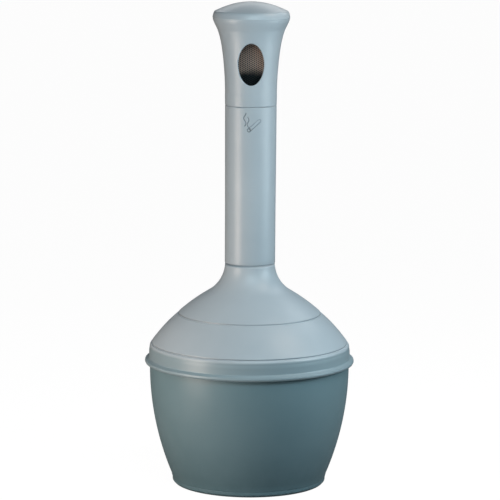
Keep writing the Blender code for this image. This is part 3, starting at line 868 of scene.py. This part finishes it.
def build_plate():
    """Perforated sheet on two bent tabs: round holes on a 60 degree stagger, columns upright."""
    pitch, hole, sides, margin = 0.0041, 0.00148, 12, 0.006
    step_x = pitch * math.sqrt(3) / 2
    low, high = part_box("stub_plate")
    foot_y, foot_rise, lean = -0.006, 0.0035, math.radians(12)
    half_w = high[0]
    plate_low, plate_top = low[2] + foot_rise, high[2]
    length = (plate_top - plate_low) / math.cos(lean)
    bm = bmesh.new()
    made = {}

    def vert(x, y):
        key = (round(x * 1e6), round(y * 1e6))
        if key not in made:
            made[key] = bm.verts.new((x, y, 0.0))
        return made[key]

    turns = [k * math.pi / 6 for k in range(sides)]
    across = int(half_w / step_x) + 2
    up = int(length / pitch) + 2
    for i in range(-across, across + 1):
        for j in range(-1, up + 1):
            cx = i * step_x
            cy = j * pitch + (pitch / 2 if i % 2 else 0.0)
            rim = []
            for k, a in enumerate(turns):
                reach = pitch / math.sqrt(3) if k % 2 == 0 else pitch / 2
                rim.append(vert(cx + reach * math.cos(a), cy + reach * math.sin(a)))
            if abs(cx) > half_w - margin or not margin < cy < length - margin:
                bm.faces.new(rim)
                continue
            ring = [bm.verts.new((cx + hole * math.cos(a), cy + hole * math.sin(a), 0.0))
                    for a in turns]
            for k in range(sides):
                m = (k + 1) % sides
                bm.faces.new((rim[k], rim[m], ring[m], ring[k]))
    for point, out in (((half_w, 0, 0), (1, 0, 0)), ((-half_w, 0, 0), (-1, 0, 0)),
                       ((0, 0, 0), (0, -1, 0)), ((0, length, 0), (0, 1, 0))):
        bmesh.ops.bisect_plane(bm, geom=list(bm.verts) + list(bm.edges) + list(bm.faces),
                               plane_co=point, plane_no=out, clear_outer=True)
    plate_y = foot_y - foot_rise * math.tan(lean)
    stand = Matrix.Translation((0, plate_y, plate_low))
    stand = stand @ Matrix.Rotation(lean, 4, "X") @ Matrix.Rotation(math.pi / 2, 4, "X")
    bmesh.ops.transform(bm, matrix=stand, verts=list(bm.verts))
    plate = finish_mesh("perforated_plate", bm, "bonnet", STUB, smooth=False)
    thicken(plate)
    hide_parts("stub_plate")

    fold_z = low[2] + 0.0006
    path = [(plate_y, plate_low + 0.0005), (foot_y - 0.0003, fold_z + 0.0018),
            (foot_y + 0.0006, fold_z + 0.0005), (foot_y + 0.0022, fold_z), (0.0070, fold_z)]
    for side, label in ((1, "right"), (-1, "left")):
        bm = bmesh.new()
        strips = [[bm.verts.new((side * x, y, z)) for y, z in path] for x in (0.0340, half_w)]
        for k in range(len(path) - 1):
            bm.faces.new((strips[0][k], strips[1][k], strips[1][k + 1], strips[0][k + 1]))
        tab = finish_mesh(f"plate_tab_{label}", bm, "bonnet", STUB, smooth=False)
        thicken(tab)


build_plate()

# ---------------------------------------------------------------- materials of the kept CAD nodes


def paint(node, mat):
    """Gives a kept CAD node its material."""
    obj = frame["nodes"][node]
    if obj.material_slots:
        for slot in obj.material_slots:
            slot.material = mat
    else:
        obj.data.materials.append(mat)


for node_name in frame["nodes"]:
    if node_name.startswith(("pail_rivet", "plate_rivet")):
        paint(node_name, FASTENER)
    elif node_name.startswith("pail_"):
        paint(node_name, ZINC)
    elif node_name == "plate_ring":
        paint(node_name, STUB)

# ---------------------------------------------------------------- studio


def build_floor():
    """A floor that looks evenly white to the camera and throws little light back up."""
    n = Nodes("studio_floor")
    tone = n.mix(n.noise(3.0, 2.0), (0.20, 0.20, 0.20), (0.23, 0.23, 0.23))
    n.set(Base_Color=tone, Roughness=0.85, Specular_IOR_Level=0.2)
    seen = n.add("ShaderNodeEmission")
    seen.inputs["Strength"].default_value = 0.975
    shown = n.add("ShaderNodeAddShader")
    matt = n.add("ShaderNodeBsdfDiffuse")
    matt.inputs["Color"].default_value = (0.05, 0.05, 0.05, 1.0)
    n.link(seen.outputs[0], shown.inputs[0])
    n.link(matt.outputs[0], shown.inputs[1])
    path = n.add("ShaderNodeLightPath")
    mix = n.add("ShaderNodeMixShader")
    n.link(path.outputs["Is Camera Ray"], mix.inputs[0])
    n.link(n.shader.outputs[0], mix.inputs[1])
    n.link(shown.outputs[0], mix.inputs[2])
    n.link(mix.outputs[0], n.tree.nodes["Material Output"].inputs["Surface"])
    bm = bmesh.new()
    bmesh.ops.create_grid(bm, x_segments=8, y_segments=8, size=16.0)
    mesh = bpy.data.meshes.new("studio_floor")
    bm.to_mesh(mesh)
    bm.free()
    mesh.materials.append(n.mat)
    floor = bpy.data.objects.new("studio_floor", mesh)
    floor.location.z = FLOOR_Z - 0.0002
    bpy.context.scene.collection.objects.link(floor)


WARM, COOL, NEUTRAL = (1.0, 0.84, 0.73), (0.72, 0.92, 1.0), (0.97, 0.98, 1.0)

# name, azimuth in degrees, distance, height, (width, height) of the box, height aimed at, watts, tint
LIGHTS = (
    ("key_left", -57, 1.20, 0.44, (0.50, 0.84), 0.44, 12.3, WARM),
    ("front", 8, 1.40, 1.50, (1.20, 0.50), 0.60, 14.2, COOL),
    ("low_left", -20, 1.60, 0.45, (0.80, 0.50), 0.25, 1.5, COOL),
    ("key_right", 64, 1.30, 0.95, (0.80, 0.60), 0.60, 4.6, COOL),
    ("near_right", 65, 0.85, 0.75, (0.50, 0.40), 0.33, 1.2, WARM),
    ("near_right_low", 75, 0.80, 0.55, (0.40, 0.30), 0.33, 2.0, COOL),
    ("top_right", 68, 0.95, 1.70, (0.70, 0.60), 0.30, 7.5, WARM),
    ("back_fill", 180, 1.30, 1.70, (1.20, 0.60), 0.40, 5.5, NEUTRAL),
    ("back_right", 125, 1.30, 1.60, (0.40, 0.60), 0.50, 3.7, NEUTRAL),
)


def softbox(name, azimuth, distance, height, size, aim, watts, tint):
    """An area light at an azimuth from the front, aimed at a height on the axis."""
    light = bpy.data.lights.new(name, "AREA")
    light.shape = "RECTANGLE"
    light.size, light.size_y = size
    light.energy = watts
    light.color = tint
    obj = bpy.data.objects.new(name, light)
    a = math.radians(azimuth)
    place = Vector((distance * math.sin(a), -distance * math.cos(a), height))
    look = Vector((0.0, 0.0, aim)) - place
    aimed = look.to_track_quat("-Z", "Y").to_matrix().to_4x4()
    obj.matrix_world = Matrix.Translation(place) @ aimed
    bpy.context.scene.collection.objects.link(obj)


def build_lights():
    for light in LIGHTS:
        softbox(*light)


def build_world():
    """White where the camera sees it, and only a faint cool ambient light on the object."""
    world = bpy.data.worlds.new("studio_world")
    world.use_nodes = True
    tree = world.node_tree
    seen = tree.nodes["Background"]
    seen.inputs["Color"].default_value = (1.0, 1.0, 1.0, 1.0)
    seen.inputs["Strength"].default_value = 0.99
    lit = tree.nodes.new("ShaderNodeBackground")
    lit.name = "ambient"
    lit.inputs["Color"].default_value = (0.85, 0.93, 1.0, 1.0)
    lit.inputs["Strength"].default_value = 0.03
    path = tree.nodes.new("ShaderNodeLightPath")
    mix = tree.nodes.new("ShaderNodeMixShader")
    tree.links.new(path.outputs["Is Camera Ray"], mix.inputs[0])
    tree.links.new(lit.outputs[0], mix.inputs[1])
    tree.links.new(seen.outputs[0], mix.inputs[2])
    tree.links.new(mix.outputs[0], tree.nodes["World Output"].inputs[0])
    bpy.context.scene.world = world


def build_camera():
    """A long lens in front and a little above, looking down, with a slight roll."""
    data = bpy.data.cameras.new("photo_view")
    data.sensor_width = 36.0
    data.lens = 203.7
    data.clip_end = 60.0
    camera = bpy.data.objects.new("photo_view", data)
    distance, height, down, roll = 5.65, 1.363, 8.92, math.radians(0.344)
    place = Matrix.Translation((0.0, -distance, height))
    pitch = Matrix.Rotation(math.radians(90 - down), 4, "X")
    camera.matrix_world = place @ pitch @ Matrix.Rotation(roll, 4, "Z")
    bpy.context.scene.collection.objects.link(camera)
    bpy.context.scene.camera = camera


build_floor()
build_lights()
build_world()
build_camera()
bpy.context.scene.view_settings.view_transform = "Standard"
